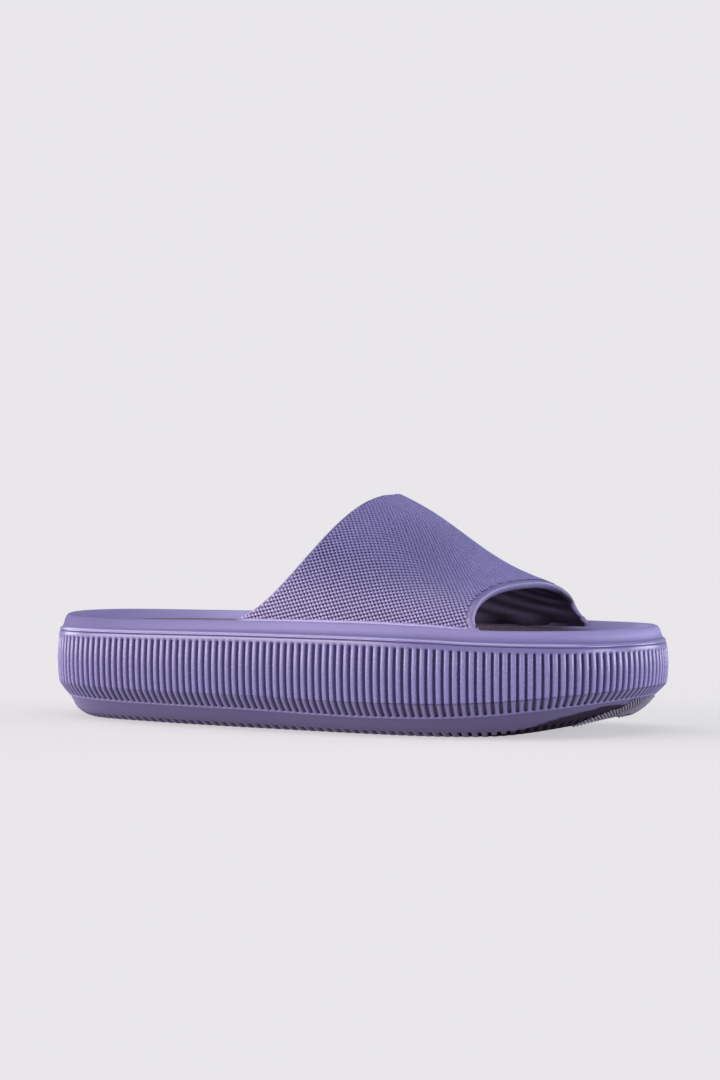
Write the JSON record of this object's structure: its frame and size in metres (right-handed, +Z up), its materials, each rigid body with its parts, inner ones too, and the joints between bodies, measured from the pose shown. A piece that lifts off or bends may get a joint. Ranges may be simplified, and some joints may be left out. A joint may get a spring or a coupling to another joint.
{
  "type": "flat slipper",
  "caption": "Slip-on foam slide with a thick ribbed side wall, dished footbed, raised rim and one wide strap, open at toe and heel.",
  "frame": {"origin": "on the floor under the middle of the slipper's bounding box", "axes": "+X from heel to toe, +Y towards the medial side (the inner side of a right foot), +Z up"},
  "size_m": [0.262, 0.1046, 0.0925],
  "materials": {
    "outsole_foam": "matt moulded foam, violet blue",
    "midsole_foam": "satin moulded foam, violet blue",
    "footbed_foam": "matt moulded foam with a fine texture, violet blue",
    "upper_foam": "satin moulded foam with small raised lozenges, violet blue"
  },
  "bodies": {
    "root": {"outsole": "outsole_foam", "midsole": "midsole_foam", "footbed": "footbed_foam", "upper": "upper_foam"}
  },
  "joints": []
}
